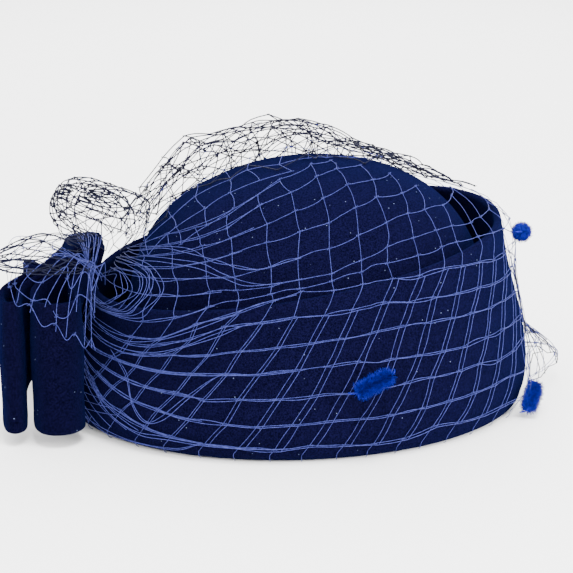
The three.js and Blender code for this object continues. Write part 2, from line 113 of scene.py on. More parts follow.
def smooth(share):
    share = np.clip(share, 0, 1)
    return share * share * (3 - 2 * share)


def throughRows(rows, steps, closed=False):
    # a smooth curve through the rows, with this many steps between two of them
    rows = np.asarray(rows, float)
    if closed:
        padded = np.vstack([rows[-1:], rows, rows[:2]])
        spans = len(rows)
    else:
        padded = np.vstack([2 * rows[0] - rows[1], rows, 2 * rows[-1] - rows[-2]])
        spans = len(rows) - 1
    share = (np.arange(steps) / steps)[:, None]
    made = []
    for k in range(spans):
        a, b, c, d = padded[k:k + 4]
        made.append(0.5 * (2 * b + (c - a) * share + (2 * a - 5 * b + 4 * c - d) * share ** 2
                           + (3 * b - a - 3 * c + d) * share ** 3))
    if not closed:
        made.append(rows[-1:])
    return np.vstack(made)


def unit(rows):
    return rows / np.linalg.norm(rows, axis=1, keepdims=True)


def closedDirections(path):
    # the direction at each point of a closed path
    return unit(np.roll(path, -1, axis=0) - np.roll(path, 1, axis=0))


def wayAlong(path):
    # the length from a path's first point to each of its points
    return np.concatenate([[0], np.cumsum(np.linalg.norm(np.diff(path, axis=0), axis=1))])


def meshObject(name, points, faces, material):
    # points in millimetres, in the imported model's frame
    mesh = bpy.data.meshes.new(name)
    mesh.from_pydata((np.asarray(points) / 1000).tolist(), [], np.asarray(faces).tolist())
    mesh.update()
    mesh.polygons.foreach_set("use_smooth", [True] * len(mesh.polygons))
    mesh.materials.append(material)
    made = bpy.data.objects.new(name, mesh)
    bpy.context.scene.collection.objects.link(made)
    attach(made, "root")
    return made


def fixNormals(piece, joinWithin=0):
    # turns the faces outwards, and first joins points that lie within this distance, in metres
    work = bmesh.new()
    work.from_mesh(piece.data)
    if joinWithin:
        bmesh.ops.remove_doubles(work, verts=work.verts, dist=joinWithin)
    bmesh.ops.recalc_face_normals(work, faces=work.faces)
    work.to_mesh(piece.data)
    work.free()


def ringFaces(rings, sides, closeRings, start=0):
    last = rings if closeRings else rings - 1
    i = np.repeat(np.arange(last), sides)
    j = np.tile(np.arange(sides), last)
    a = i * sides + j
    b = i * sides + (j + 1) % sides
    c = ((i + 1) % rings) * sides + (j + 1) % sides
    d = ((i + 1) % rings) * sides + j
    return np.stack([a, b, c, d], 1) + start


class Threads:
    # collects tubes and makes one mesh of them

    def __init__(self):
        self.points = []
        self.faces = []
        self.slots = []
        self.slot = 0
        self.count = 0

    def add(self, path, radius, sides=4, taper=False):
        path = np.asarray(path, float)
        rings = len(path)
        along = np.gradient(path, axis=0)
        along /= np.linalg.norm(along, axis=1, keepdims=True) + 1e-9
        guide = np.array([0.31, 0.17, 0.93]) if abs(along[0, 2]) < 0.8 else np.array([0.9, 0.3, 0.1])
        across = np.cross(along, guide)
        across /= np.linalg.norm(across, axis=1, keepdims=True) + 1e-9
        other = np.cross(along, across)
        turn = 2 * pi * np.arange(sides) / sides
        radii = np.full(rings, radius)
        if taper:
            radii = radii * np.linspace(1, 0.25, rings)
        ring = (across[:, None] * np.cos(turn)[None, :, None] + other[:, None] * np.sin(turn)[None, :, None])
        self.points.append((path[:, None] + ring * radii[:, None, None]).reshape(-1, 3))
        self.faces.append(ringFaces(rings, sides, False, self.count))
        self.slots.append(np.full((rings - 1) * sides, self.slot))
        self.count += rings * sides

    def coil(self, middle, along, out, radius, length, turns, thread):
        # a strand wrapped round a crossing
        along = along / (np.linalg.norm(along) + 1e-9)
        across = np.cross(along, out)
        across /= np.linalg.norm(across) + 1e-9
        out = np.cross(across, along)
        share = np.linspace(0, 1, int(turns * 5) + 1)[:, None]
        turn = 2 * pi * turns * share
        path = (middle + along * (share - 0.5) * length
                + (across * np.cos(turn) + out * np.sin(turn)) * radius)
        self.add(path, thread, 3)

    def build(self, name, materials, slotName):
        points = np.vstack(self.points)
        faces = np.vstack(self.faces)
        print(name, "has", 2 * len(faces), "triangles")
        made = meshObject(name, points, faces, materials[0])
        for material in materials[1:]:
            made.data.materials.append(material)
        made.data.polygons.foreach_set("material_index", np.concatenate(self.slots).astype(np.int32))
        return made


def makeNode(tree, kind, values=None, **settings):
    # a shader node with its settings, whose inputs are given values or joined to outputs
    node = tree.nodes.new(kind)
    for name, value in settings.items():
        setattr(node, name, value)
    for name, value in (values or {}).items():
        setInput(tree, node, name, value)
    return node


def setInput(tree, node, name, value):
    if isinstance(value, bpy.types.NodeSocket):
        tree.links.new(value, node.inputs[name])
    else:
        node.inputs[name].default_value = value


woolLook = {
    "cloudScale": 38, "cloudDetail": 6, "cloudRoughness": 0.65, "cloudChange": 0.35,
    "fibreScale": 2600.0, "fibreDetail": 5, "fibreRoughness": 0.75, "fibreDistortion": 1.6,
    "grainScale": 1500, "grainDetail": 3, "grainDark": -1.6, "grainPale": 2.4,
    "lintScale": 300, "lintReach": 0.085, "lintCore": 0.03, "lintLeftOut": 0.7,
    "lintColor": (0.3, 0.38, 0.62, 1),
    "napHeight": 0.0004, "napStrength": 0.55, "roughness": 0.93,
    "sheen": 0.03, "sheenRoughness": 0.5, "sheenTint": (0.06, 0.16, 0.9, 1),
}


def makeNapGroup():
    # pressed wool: cloudy tone, fine fibres and a few pale flecks of lint
    look = woolLook
    tree = bpy.data.node_groups.new("woolNap", "ShaderNodeTree")
    for name, kind, way, value in (
            ("Color", "NodeSocketColor", "INPUT", (0.01, 0.02, 0.08, 1)),
            ("Cloud", "NodeSocketFloat", "INPUT", 0.25),
            ("Flecks", "NodeSocketFloat", "INPUT", 0.5),
            ("Color", "NodeSocketColor", "OUTPUT", None),
            ("Height", "NodeSocketFloat", "OUTPUT", None)):
        made = tree.interface.new_socket(name=name, in_out=way, socket_type=kind)
        if value is not None:
            made.default_value = value
    given = makeNode(tree, "NodeGroupInput").outputs
    place = makeNode(tree, "ShaderNodeTexCoord").outputs["Object"]

    def noise(scale, detail, **more):
        values = {"Vector": place, "Scale": scale, "Detail": detail, **more}
        return makeNode(tree, "ShaderNodeTexNoise", values).outputs["Fac"]

    def sums(operation, *values):
        made = makeNode(tree, "ShaderNodeMath", dict(enumerate(values)), operation=operation)
        return made.outputs["Value"]

    def ranged(value, fromMin, fromMax, toMin=0, toMax=1):
        values = {"Value": value, "From Min": fromMin, "From Max": fromMax, "To Min": toMin, "To Max": toMax}
        return makeNode(tree, "ShaderNodeMapRange", values).outputs["Result"]

    cloud = noise(look["cloudScale"], look["cloudDetail"], Roughness=look["cloudRoughness"])
    fibre = noise(look["fibreScale"], look["fibreDetail"], Roughness=look["fibreRoughness"],
                  Distortion=look["fibreDistortion"])
    grain = noise(look["grainScale"], look["grainDetail"])

    lint = makeNode(tree, "ShaderNodeTexVoronoi",
                    {"Vector": place, "Scale": look["lintScale"], "Randomness": 1})
    near = ranged(lint.outputs["Distance"], look["lintReach"], look["lintCore"])
    split = makeNode(tree, "ShaderNodeSeparateColor", {"Color": lint.outputs["Color"]})
    few = sums("GREATER_THAN", split.outputs["Red"], look["lintLeftOut"])
    fleck = sums("MULTIPLY", sums("MULTIPLY", near, few), given["Flecks"])

    tone = ranged(cloud, 0.3, 0.7, -look["cloudChange"], look["cloudChange"])
    speck = ranged(grain, 0.35, 0.65, look["grainDark"], look["grainPale"])
    gain = sums("MULTIPLY_ADD", sums("ADD", tone, speck), given["Cloud"], 1)
    shaded = makeNode(tree, "ShaderNodeVectorMath", {0: given["Color"], "Scale": gain}, operation="SCALE")
    paint = makeNode(tree, "ShaderNodeMix", {"Factor": fleck, "A": shaded.outputs["Vector"],
                                             "B": look["lintColor"]}, data_type="RGBA")
    makeNode(tree, "NodeGroupOutput", {"Color": paint.outputs["Result"],
                                       "Height": sums("ADD", fibre, grain)})
    return tree


napGroup = makeNapGroup()


def newMaterial(name):
    material = bpy.data.materials.new(name)
    material.use_nodes = True
    return material, material.node_tree, material.node_tree.nodes["Principled BSDF"]


def makeFelt(name, color, cloud, flecks):
    material, tree, shader = newMaterial(name)
    nap = makeNode(tree, "ShaderNodeGroup", {"Color": (*color, 1), "Cloud": cloud, "Flecks": flecks},
                   node_tree=napGroup)
    bump = makeNode(tree, "ShaderNodeBump", {"Strength": woolLook["napStrength"],
                                             "Distance": woolLook["napHeight"],
                                             "Height": nap.outputs["Height"]})
    for name, value in {
            "Base Color": nap.outputs["Color"], "Normal": bump.outputs["Normal"],
            "Roughness": woolLook["roughness"], "Specular IOR Level": 0.0,
            "Sheen Weight": woolLook["sheen"], "Sheen Roughness": woolLook["sheenRoughness"],
            "Sheen Tint": woolLook["sheenTint"]}.items():
        setInput(tree, shader, name, value)
    return material


threadLook = {
    "unevenScale": 700, "unevenDetail": 2, "darkBelow": 0.35, "paleAbove": 0.62,
    "twistScale": 900, "twistDistortion": 6, "twistStrength": 0.3, "twistHeight": 0.0001,
    "roughness": 0.6, "specular": 0.08,
}


def makeThreadMaterial(name, color, darker):
    # a soft twisted thread, whose tone changes a little along the strand
    look = threadLook
    material, tree, shader = newMaterial(name)
    place = makeNode(tree, "ShaderNodeTexCoord").outputs["Object"]
    uneven = makeNode(tree, "ShaderNodeTexNoise",
                      {"Vector": place, "Scale": look["unevenScale"], "Detail": look["unevenDetail"]})
    ramp = makeNode(tree, "ShaderNodeValToRGB", {"Fac": uneven.outputs["Fac"]})
    stops = ((look["darkBelow"], darker), (look["paleAbove"], color))
    for element, (position, tone) in zip(ramp.color_ramp.elements, stops):
        element.position = position
        element.color = (*tone, 1)
    twist = makeNode(tree, "ShaderNodeTexWave", {"Vector": place, "Scale": look["twistScale"],
                                                 "Distortion": look["twistDistortion"]})
    bump = makeNode(tree, "ShaderNodeBump", {"Strength": look["twistStrength"],
                                             "Distance": look["twistHeight"],
                                             "Height": twist.outputs["Fac"]})
    for name, value in {
            "Base Color": ramp.outputs["Color"], "Normal": bump.outputs["Normal"],
            "Roughness": look["roughness"], "Specular IOR Level": look["specular"]}.items():
        setInput(tree, shader, name, value)
    return material


feltMaterial = makeFelt("navyFelt", (0.0018, 0.0015, 0.0100), 0.32, 0.4)
bowMaterial = makeFelt("bowFelt", (0.0013, 0.0010, 0.0068), 0.36, 0.6)
netMaterial = makeThreadMaterial("netThread", (0.042, 0.05, 0.2), (0.02, 0.025, 0.11))
# the same navy thread ten times darker, as painted shade on the net that stands free: the front tip, the
# loose folds and the puffs
netPaintedShadeMaterial = makeThreadMaterial("netThreadPaintedShade", (0.004, 0.005, 0.02), (0.002, 0.0025, 0.01))
chenilleMaterial = makeThreadMaterial("chenillePile", (0.005, 0.009, 0.28), (0.0015, 0.003, 0.09))
print("materials made")


hatShape = {
    "feltThickness": 2.5, "openingLength": 196, "openingWidth": 162,
    "crownLength": 168, "crownWidth": 147, "crownShift": 5, "crownHeight": 112, "crownRise": 0.04,
    "shoulderHeight": 44, "domeFullness": 2.25, "planFullness": 2.05,
    "foldRoom": 5.5, "foldRadius": 2.6,
    "cuffHeight": 73, "cuffRise": 0.16, "cuffTopLength": 193, "cuffTopWidth": 168,
    "cuffBulge": 2.4, "cuffEdgeThickness": 3.4,
    "softness": 0.35,      # millimetres by which the pressed felt is uneven, above this height
    "softAbove": 4, "softRise": 20,
    "aroundSteps": 300, "domeSteps": 36, "wallSteps": 14, "cornerSteps": 7, "cuffSteps": 8, "edgeSteps": 10,
}
# the cuff from its fold to its edge: shares of its height, bulge and lean inwards
cuffRows = [(0, 0, 0), (0.1, 0.75, 0), (0.26, 1, 0.07), (0.48, 0.7, 0.34), (0.74, 0.25, 0.72), (1, 0, 1)]


def ovalRadius(length, width, theta):
    full = hatShape["planFullness"]
    return (np.abs(np.cos(theta) / (length / 2)) ** full
            + np.abs(np.sin(theta) / (width / 2)) ** full) ** (-1 / full)


def feltPath(theta):
    # middle of the felt in upright planes: out, up, thickness, forward, rise
    shape = hatShape
    half = shape["feltThickness"] / 2
    shoulder = ovalRadius(shape["crownLength"], shape["crownWidth"], theta) - half
    wallFoot = ovalRadius(shape["openingLength"], shape["openingWidth"], theta) + half
    cuffFoot = wallFoot + shape["feltThickness"] + shape["foldRoom"]
    cuffTop = (ovalRadius(shape["cuffTopLength"], shape["cuffTopWidth"], theta)
               - shape["cuffEdgeThickness"] / 2)
    domeHeight = shape["crownHeight"] - half - shape["shoulderHeight"]
    radius = shape["foldRadius"]
    corner = half + radius
    rows = []

    def addRow(out, up, share=1.0, thick=shape["feltThickness"]):
        # share tells how far the row moves forward and rises with the crown
        row = (out, up, thick, shape["crownShift"] * share, shape["crownRise"] * share)
        rows.append([part + 0 * theta for part in row])

    for turn in np.linspace(0, pi / 2, shape["domeSteps"] + 1):
        addRow(shoulder * np.sin(turn) ** (2 / shape["domeFullness"]),
               shape["shoulderHeight"] + domeHeight * max(np.cos(turn), 0) ** (2 / shape["domeFullness"]))
    for down in np.arange(1, shape["wallSteps"] + 1) / shape["wallSteps"]:
        addRow(shoulder + (wallFoot - shoulder) * smooth(down),
               shape["shoulderHeight"] + (corner - shape["shoulderHeight"]) * down, 1 - down)
    for turn in np.linspace(0, pi / 2, shape["cornerSteps"] + 1)[1:]:
        addRow(wallFoot + radius * (1 - np.cos(turn)), corner - radius * np.sin(turn), 0)
    for turn in np.linspace(0, pi / 2, shape["cornerSteps"] + 1):
        addRow(cuffFoot - radius * (1 - np.sin(turn)), corner - radius * np.cos(turn), 0)
    edgeHeight = shape["cuffHeight"] - shape["cuffEdgeThickness"] / 2
    for up, bulge, lean in throughRows(cuffRows, shape["cuffSteps"])[1:]:
        thicker = (shape["cuffEdgeThickness"] - shape["feltThickness"]) * smooth(2 * up - 1)
        addRow(cuffFoot + shape["cuffBulge"] * bulge + (cuffTop - cuffFoot) * lean,
               corner + (edgeHeight - corner) * up, 0, shape["feltThickness"] + thicker)
        rows[-1][4] = rows[-1][4] + shape["cuffRise"] * smooth(up)
    return np.array(rows).transpose(1, 0, 2)


def feltOutline(theta):
    # the closed outline in each plane, and the number of the row at the cuff's edge
    out, up, thick, forward, rise = feltPath(theta)
    along = np.empty((2, *out.shape))
    for k, row in enumerate((out, up)):
        along[k, 1:-1] = row[2:] - row[:-2]
        along[k, 0] = row[1] - row[0]
        along[k, -1] = row[-1] - row[-2]
    along[0, 0], along[1, 0] = 1, 0
    along /= np.hypot(along[0], along[1])
    last = len(out) - 1

    def beside(i, sideways, onward):
        reach = out[i] + thick[i] / 2 * (along[0, i] * onward - along[1, i] * sideways)
        height = up[i] + thick[i] / 2 * (along[1, i] * onward + along[0, i] * sideways)
        x = reach * np.cos(theta) + forward[i]
        return np.array([x, reach * np.sin(theta), height + rise[i] * x])

    edgeSteps = hatShape["edgeSteps"]
    rows = [beside(i, 1, 0) for i in range(last + 1)]
    rows += [beside(last, np.cos(t), np.sin(t)) for t in pi * np.arange(1, edgeSteps) / edgeSteps]
    rows += [beside(i, -1, 0) for i in range(last, -1, -1)]
    return np.array(rows), last + edgeSteps * 2 // 3


def makeFeltBody():
    theta = 2 * pi * np.arange(hatShape["aroundSteps"]) / hatShape["aroundSteps"]
    outline, _ = feltOutline(theta)
    rings, sides = len(outline), len(theta)
    points = outline.transpose(0, 2, 1).reshape(-1, 3)
    # slow, shallow waves of hand-blocked felt, fading out at the rim
    x, y, z = points.T
    fade = smooth((z - hatShape["softAbove"]) / hatShape["softRise"]) * hatShape["softness"]
    wave = (np.sin(x / 23 + 1.3) * np.cos(y / 19 - 0.4) + 0.6 * np.sin((x + y) / 13 + z / 17)
            + 0.5 * np.sin(z / 9 + x / 31))
    points = points + unit(points - np.array([5, 0, 40])) * (wave * fade)[:, None]
    faces = ringFaces(rings, sides, False)[:, ::-1]
    body = meshObject("feltHat", points + hatPlace, faces, feltMaterial)
    # the first and last rows have shrunk to a point, so each is joined into one
    fixNormals(body, 1e-6)
    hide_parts("felt_body")


makeFeltBody()
print("felt body made")


bowShape = {
    "touchGap": 0.35, "bandWidth": 61, "bandFoot": 6, "pinchLift": 9, "pinchGather": 8, "pinchLean": 0.38,
    "loopReach": 56, "loopDepth": 22, "knotWidth": 24, "knotEase": 0.7, "knotRounding": 0.22,
    "farReach": 46, "farDrop": 7, "farLiftReach": 14, "knotMargin": 1.5, "liftReach": 34, "leanReach": 25,
    "alongSteps": 9, "edgeRounding": 4, "bandLines": 15, "innerLayer": 1, "outerLayer": 3, "knotLayers": 5,
    "knotSteps": 96, "knotLines": 13,
}
# each loop's way round, as shares of its reach and of its depth backwards
innerLoop = [(0.2, 0), (0.4, -0.12), (0.62, -0.34), (0.84, -0.48), (0.97, -0.27), (1, 0.04), (0.94, 0.32),
             (0.76, 0.44), (0.48, 0.33), (0.22, 0.14)]
outerLoop = [(0.22, 0.02), (0.34, 0.19), (0.5, 0.35), (0.7, 0.4), (0.84, 0.45), (0.9, 0.6), (0.85, 0.75),
             (0.66, 0.79), (0.44, 0.6), (0.22, 0.15)]
innerFarLoop = [(0.26, 0), (0.42, -0.12), (0.62, -0.34), (0.84, -0.48), (0.95, -0.4), (0.98, -0.27),
                (0.93, -0.16), (0.76, -0.1), (0.5, 0), (0.3, 0.13)]
outerFarLoop = [(0.28, 0.01), (0.42, 0.05), (0.56, 0.02), (0.7, -0.03), (0.83, -0.02), (0.88, 0.06),
                (0.83, 0.16), (0.66, 0.2), (0.46, 0.21), (0.28, 0.14)]

layer = hatShape["feltThickness"] + bowShape["touchGap"]
knotFoot = (bowShape["bandFoot"] + bowShape["pinchLift"] + bowShape["pinchGather"] - layer / 2
            - bowShape["touchGap"] - bowShape["knotEase"])
backOutline = feltOutline(np.array([pi]))[0][:, :, 0]
backOutline = backOutline[backOutline[:, 2] > knotFoot]
cuffBack = (backOutline[:, 0] - bowShape["pinchLean"] * (backOutline[:, 2] - knotFoot)).min()
knotFront = cuffBack - bowShape["touchGap"] - hatShape["feltThickness"] / 2


def besideKnot(y):
    return np.abs(y) - bowShape["knotWidth"] / 2 - bowShape["knotMargin"]


def leaned(points):
    fade = smooth(1 - besideKnot(points[:, 1]) / bowShape["leanReach"])
    points[:, 0] += bowShape["pinchLean"] * fade * (points[:, 2] - knotFoot)
    return points


def strapMesh(middle, side, face, upSteps, ripple):
    # a closed strap: middle, half width and face normal for each step, with rounded edges
    half = hatShape["feltThickness"] / 2
    count = len(middle)
    turns = pi * np.arange(1, bowShape["edgeRounding"] + 3) / (bowShape["edgeRounding"] + 3)
    length = np.linalg.norm(side, axis=1)
    along = side / length[:, None]
    rings = []
    inset = half * 0.98
    for way in (1, -1):
        for share in np.linspace(way, -way, upSteps):
            rings.append(middle + along * ((length - inset) * share)[:, None] + way * face * half)
        for turn in turns:
            rings.append(middle - way * along * (length - inset + inset * np.sin(turn))[:, None]
                         + way * face * (half * np.cos(turn)))
    sides = len(rings)
    points = np.array(rings).transpose(1, 0, 2)
    points = points + face[:, None, :] * ripple(points)[:, :, None]
    points = leaned(points.reshape(-1, 3).copy())
    return points, ringFaces(count, sides, True)


def makeBand(name, node, nearLoop, farLoop, firstLayer):
    front = knotFront - bowShape["knotEase"] - layer * firstLayer
    near = [(front - bowShape["loopDepth"] * back, -bowShape["loopReach"] * across)
            for across, back in nearLoop]
    far = [(front - bowShape["loopDepth"] * back, bowShape["farReach"] * across)
           for across, back in farLoop][::-1]
    path = throughRows([(front, 0), *near, (front - layer, 0), *far], bowShape["alongSteps"], closed=True)
    along = closedDirections(path)
    isFar = path[:, 1] > 0
    pinch = smooth(1 - besideKnot(path[:, 1]) / np.where(isFar, bowShape["farLiftReach"],
                                                         bowShape["liftReach"]))
    foot = bowShape["bandFoot"] + (bowShape["pinchLift"] + bowShape["pinchGather"]) * pinch
    top = (bowShape["bandFoot"] + bowShape["bandWidth"] + bowShape["pinchLift"] * pinch
           - isFar * bowShape["farDrop"] * (1 - pinch))
    middle = np.column_stack([path, (foot + top) / 2])
    side = np.column_stack([0 * top, 0 * top, (top - foot) / 2])
    face = np.column_stack([-along[:, 1], along[:, 0], 0 * top])

    def ripple(points):
        # folds that run out from the pinch, and a slight swell of the loops
        y, z = points[:, :, 1], points[:, :, 2]
        free = smooth((np.abs(y) - bowShape["knotWidth"] / 2 - 3) / 12)
        return free * (0.35 * np.sin(z / 8 + y / 11) + 0.25 * np.sin(y / 7 + z / 15))

    points, faces = strapMesh(middle, side, face, bowShape["bandLines"], ripple)
    band = meshObject(name, points + hatPlace, faces, bowMaterial)
    fixNormals(band)
    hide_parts(node)


def makeKnot():
    back = knotFront - 2 * bowShape["knotEase"] - bowShape["knotLayers"] * layer
    top = (bowShape["bandFoot"] + bowShape["bandWidth"] + bowShape["pinchLift"] + layer / 2
           + bowShape["touchGap"] + bowShape["knotEase"])
    turn = 2 * pi * np.arange(112) / 112
    steps = bowShape["knotSteps"]

    def squared(value):
        return np.sign(value) * np.abs(value) ** bowShape["knotRounding"]

    x = (knotFront + back + (knotFront - back) * squared(np.cos(turn))) / 2
    z = (knotFoot + top + (top - knotFoot) * squared(np.sin(turn))) / 2
    path = np.column_stack([x, 0 * x, z])
    # even steps round the strap
    closed = np.vstack([path, path[:1]])
    way = wayAlong(closed)
    even = np.linspace(0, way[-1], steps + 1)[:-1]
    middle = np.column_stack([np.interp(even, way, closed[:, k]) for k in range(3)])
    along = closedDirections(middle)
    face = np.column_stack([along[:, 2], 0 * even, -along[:, 0]])
    side = np.tile([0, bowShape["knotWidth"] / 2, 0], (steps, 1))

    def ripple(points):
        # the strap's soft gathers across its width
        return 0.3 * np.sin(points[:, :, 1] * 0.75 + 0.4) * (np.abs(points[:, :, 1]) < 11.5)

    points, faces = strapMesh(middle, side, face, bowShape["knotLines"], ripple)
    knot = meshObject("bowKnot", points + hatPlace, faces, bowMaterial)
    fixNormals(knot)
    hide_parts("bow_knot")


makeBand("bowInnerBand", "bow_band_inner", innerLoop, innerFarLoop, bowShape["innerLayer"])
makeBand("bowOuterBand", "bow_band_outer", outerLoop, outerFarLoop, bowShape["outerLayer"])
makeKnot()
print("bow made")


veilShape = {
    "gap": 1.0,              # between the felt and the net
    "foot": 4,
    "strand": 0.145,         # radius
    "looseStrand": 0.27,     # radius where the net stands free
    "knot": 0.4,             # radius of the wrapped knots
    "cell": 13.6,            # width of a cell
    "lean": 27,              # degrees by which the cross strands lean on the cuff
    "firstEdge": 218, "lastEdge": 510,    # the net's two ends on the cuff's edge, in degrees
    "turnStrands": 11, "endStrands": 6, "crossStrands": 9, "knotStrands": 12,
    # the net is doubled over the cuff, and its second layer has slipped a little
    "doubledRows": 7, "doubledLift": 0.7, "slip": 1.35, "slipChange": 0.5, "levelSlip": 0.006,
    "wrapLength": 2.5, "wrapTurns": 3.5, "wrapThread": 0.8,
    "billowHeight": 19, "billowReach": 34, "billowOffset": 34, "billowLean": 0.3,
    "billowBack": -104, "billowRise": 42, "billowFront": 94, "billowFall": 134, "billowEdge": 0.2,
    "tipReach": 20, "tipHeight": 30, "tipColumn": 18,
    "uneven": 0.9,           # millimetres by which crossings are out of line
    "dotPull": 4.6, "dotReach": 11,    # the net stands off this far at a dot, within this distance
}
# directions and levels at which the dots are threaded on the net
dotPlaces = [(279.9, 1.56), (348.7, 1.13), (334.1, 1.9)]
# steps of the surface that the net lies on: over the crown, down the cuff and round the hat
crownLevels = 90
cuffLevels = 50
aroundCount = 720


def drapeGrid():
    # the surface that the net lies on: 0 at the crown's top, 1 at the cuff's edge, 2 at the lower edge
    theta = 2 * pi * np.arange(aroundCount) / aroundCount
    outline, edgeRow = feltOutline(theta)
    outs = outline[:, 0] * np.cos(theta) + outline[:, 1] * np.sin(theta)
    asides = outline[:, 1] * np.cos(theta) - outline[:, 0] * np.sin(theta)
    ups = outline[:, 2]
    place = np.zeros((aroundCount, crownLevels + cuffLevels + 1, 3))
    normal = np.zeros_like(place)
    foot = veilShape["foot"]
    for k in range(aroundCount):
        out, aside, up = outs[:, k], asides[:, k], ups[:, k]
        hull = [0]
        while up[hull[-1]] > foot:
            here = hull[-1]
            slope = np.arctan2(up - up[here], out - out[here])
            slope[slope >= pi / 6] = -9
            slope[hull] = -9
            hull.append(int(slope.argmax()))
        i, j = hull[-2:]
        share = (up[i] - foot) / (up[i] - up[j])
        hullOut, hullUp, hullAside = out[hull].copy(), up[hull].copy(), aside[hull]
        hullOut[-1] = hullOut[-2] + (hullOut[-1] - hullOut[-2]) * share
        hullUp[-1] = foot
        way = wayAlong(np.column_stack([hullOut, hullUp]))
        edge = np.hypot(hullOut - out[edgeRow], hullUp - up[edgeRow]).argmin()
        ways = np.concatenate([np.linspace(0, way[edge], crownLevels + 1),
                               np.linspace(way[edge], way[-1], cuffLevels + 1)[1:]])
        fOut, fUp, fAside = (np.interp(ways, way, row) for row in (hullOut, hullUp, hullAside))
        gOut, gUp = np.gradient(fOut, ways), np.gradient(fUp, ways)
        size = np.hypot(gOut, gUp)
        nOut, nUp = -gUp / size, gOut / size
        nOut[0], nUp[0] = 0, 1
        c, s = np.cos(theta[k]), np.sin(theta[k])
        place[k] = np.stack([fOut * c - fAside * s, fOut * s + fAside * c, fUp], 1)
        normal[k] = np.stack([nOut * c, nOut * s, nUp], 1)
    return place, normal


drapePlace, drapeNormal = drapeGrid()


def onDrape(theta, level, lift=0.0, billow=1.0, loose=True):
    # theta in degrees; arrays are fine
    theta = np.asarray(theta, float)
    level = np.asarray(level, float)
    row = np.mod(theta, 360) / 360 * aroundCount
    column = np.where(level < 1, level * crownLevels, crownLevels + (level - 1) * cuffLevels)
    column = np.clip(column, 0, crownLevels + cuffLevels - 1e-6)
    i, j = np.floor(row).astype(int), np.floor(column).astype(int)
    a, b = (row - i)[..., None], (column - j)[..., None]
    i, k = i % aroundCount, (i + 1) % aroundCount

    def mixed(grid):
        return ((grid[i, j] * (1 - a) + grid[k, j] * a) * (1 - b)
                + (grid[i, j + 1] * (1 - a) + grid[k, j + 1] * a) * b)

    place, normal = mixed(drapePlace), mixed(drapeNormal)
    place = place + normal * (veilShape["gap"] + np.asarray(lift, float)[..., None])
    if loose:
        for middle in dotMiddles:
            away = np.linalg.norm(place - middle, axis=-1)[..., None] / veilShape["dotReach"]
            place = place + normal * veilShape["dotPull"] * np.exp(-away ** 2)
        place = place + looseness(place, theta, level, billow)
    return place, normal


def looseness(place, theta, level, billowShare):
    shape = veilShape
    x, y, z = place[..., 0], place[..., 1], place[..., 2]
    along = (smooth((x - shape["billowBack"]) / shape["billowRise"])
             * smooth((shape["billowFront"] - x) / shape["billowFall"]))
    across = smooth(1 - np.abs(y - shape["billowOffset"]) / shape["billowReach"])
    billow = (shape["billowHeight"] * billowShare * along * across
              * smooth((1 - level) / shape["billowEdge"]))
    billow = billow * (1 + 0.12 * np.sin(x / 9 + 0.7) + 0.08 * np.sin(x / 5.3 + y / 8))
    beside = np.abs((theta + 180) % 360 - 180) / shape["tipColumn"]
    tip = smooth(1 - beside) * smooth(1 - (z - shape["foot"]) / shape["tipHeight"])
    out = shape["tipReach"] * tip
    turn = np.radians(theta)
    return np.stack([out * np.cos(turn), out * np.sin(turn) + shape["billowLean"] * billow,
                     billow + shape["foot"] * tip], -1)


dotMiddles = [onDrape(turn, level, 0, 0, False)[0] for turn, level in dotPlaces]

# The strands that run from the gather round to the front. Each starts beside the bow, in a direction and
# at a level: the lowest below the gather, the next at its foot, the rest at its top. Then come its levels
# at the directions in rowStops.
rowStops = [218, 240, 270, 305, 340]
rowColumns = ("turn", "start", "dip", "back", "side", "shoulder", "front")
netRows = [dict(zip(rowColumns, row)) for row in (
    (190, 1.46, 1.84, 1.93, 1.94, 1.93, 1.92), (190, 1.42, 1.68, 1.77, 1.77, 1.78, 1.79),
    (190, 1.39, 1.55, 1.61, 1.60, 1.63, 1.66), (190, 1.35, 1.42, 1.44, 1.43, 1.48, 1.53),
    (187, 1.26, 1.32, 1.29, 1.26, 1.31, 1.39), (187, 1.19, 1.27, 1.12, 1.09, 1.18, 1.27),
    (187, 1.13, 1.21, 1.03, 0.96, 1.04, 1.14), (187, 1.08, 1.08, 0.96, 0.93, 0.92, 1.03),
    (183, 0.93, 0.93, 0.90, 0.88, 0.81, 0.92), (182, 0.89, 0.84, 0.82, 0.74, 0.67, 0.74),
    (181, 0.86, 0.77, 0.68, 0.58, 0.52, 0.58), (180, 0.84, 0.69, 0.55, 0.43, 0.37, 0.43),
    (179, 0.82, 0.60, 0.40, 0.27, 0.22, 0.28), (178, 0.80, 0.50, 0.24, 0.12, 0.08, 0.12),
)]


def rowCurve(row):
    # levels of a row for any direction from the gather to the bow's far side
    turn, start, dip, back = (row[name] for name in rowColumns[:4])
    begin = [(turn, start), ((turn + rowStops[0]) / 2 - 3, start + 0.45 * (dip - start))]
    near = list(zip(rowStops, [row[name] for name in rowColumns[2:]]))
    far = [(720 - stop, level) for stop, level in near[::-1][:-1]]
    end = [(508, 1 + (back - 1) * 0.8), (526, 1 + (back - 1) * 0.45)]
    table = throughRows(begin + near + far + end, 12)
    return table[:, 0], table[:, 1]


rowCurves = [rowCurve(row) for row in netRows]


def rowLevel(number, theta):
    stops, levels = rowCurves[number]
    return np.interp(theta, stops, levels)


def planToChart(x, y):
    # direction and level of places in plan, found among the levels of the surface
    turn = np.degrees(np.arctan2(y, x)) % 360
    i = np.round(turn / 360 * aroundCount).astype(int) % aroundCount
    rows = np.hypot(drapePlace[i, :crownLevels + 1, 0], drapePlace[i, :crownLevels + 1, 1])
    shares = np.arange(crownLevels + 1) / crownLevels
    levels = [np.interp(reach, row, shares) for reach, row in zip(np.atleast_1d(np.hypot(x, y)),
                                                                 np.atleast_2d(rows))]
    return turn, np.reshape(levels, np.shape(turn))


